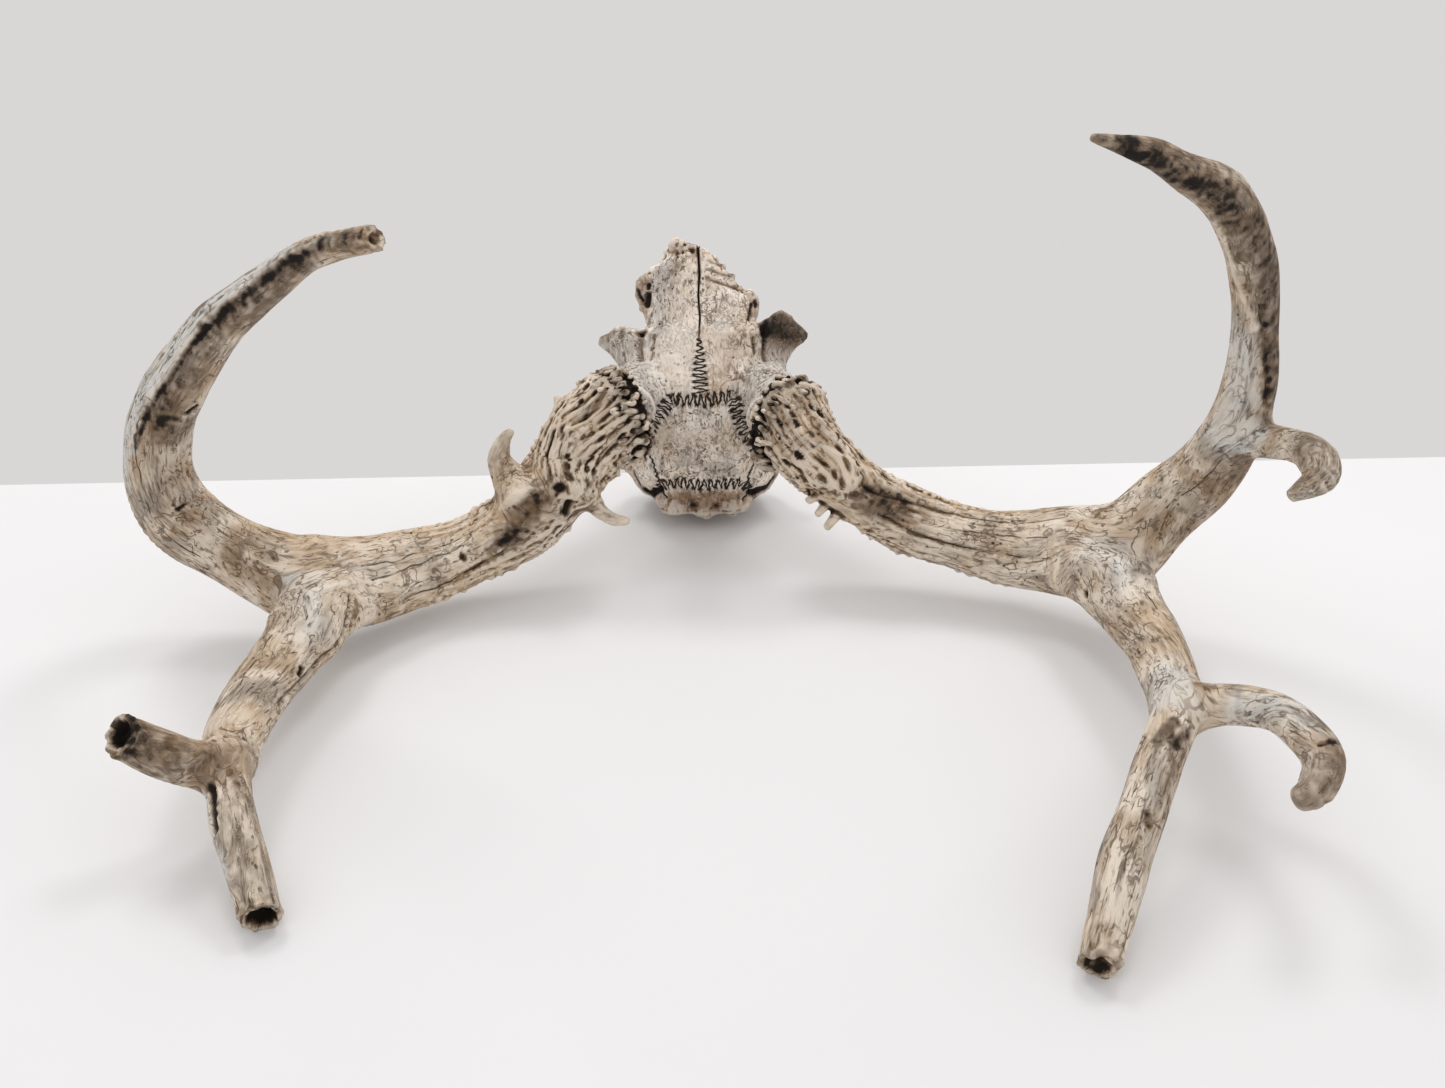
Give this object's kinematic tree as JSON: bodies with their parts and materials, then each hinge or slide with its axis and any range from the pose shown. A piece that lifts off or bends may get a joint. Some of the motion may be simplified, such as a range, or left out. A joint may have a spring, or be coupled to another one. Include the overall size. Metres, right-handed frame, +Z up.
{
  "type": "mule deer skull cap with antlers",
  "caption": "Weathered deer skull cap with both branched antlers, broken off in front of the brow, standing on its back edge and two tine tips.",
  "frame": {"origin": "middle of the bounding box, on the table", "axes": "+X to the viewer's right across both antlers, +Y away from the viewer towards the skull, +Z up"},
  "size_m": [0.5583, 0.4055, 0.2769],
  "materials": {
    "antler_bone": "matt, pearled and ridged tan antler with grey and brown streaks",
    "burr_bone": "matt, rough brown knobs with black gaps",
    "dark_antler": "matt, dark stained antler",
    "grey_bone": "matt, thin grey bone",
    "pale_bone": "matt, weathered pale bone with fine brown marks",
    "warm_bone": "matt, weathered tan bone, pitted"
  },
  "bodies": {
    "root": {"antler_left_beam": "antler_bone", "antler_left_brow_tine": "dark_antler", "antler_left_front_tine": "antler_bone", "antler_left_rear_beam": "antler_bone", "antler_left_rear_tine_inner": "antler_bone", "antler_left_rear_tine_outer": "antler_bone", "antler_right_beam": "antler_bone", "antler_right_front_hook": "antler_bone", "antler_right_front_tine": "antler_bone", "antler_right_rear_beam": "antler_bone", "antler_right_rear_hook": "antler_bone", "antler_right_rear_tine": "antler_bone", "burr_left": "burr_bone", "burr_right": "burr_bone", "frontal_left": "pale_bone", "frontal_right": "pale_bone", "occipital": "warm_bone", "parietal": "pale_bone", "temporal_left": "grey_bone", "temporal_right": "grey_bone"}
  },
  "joints": []
}
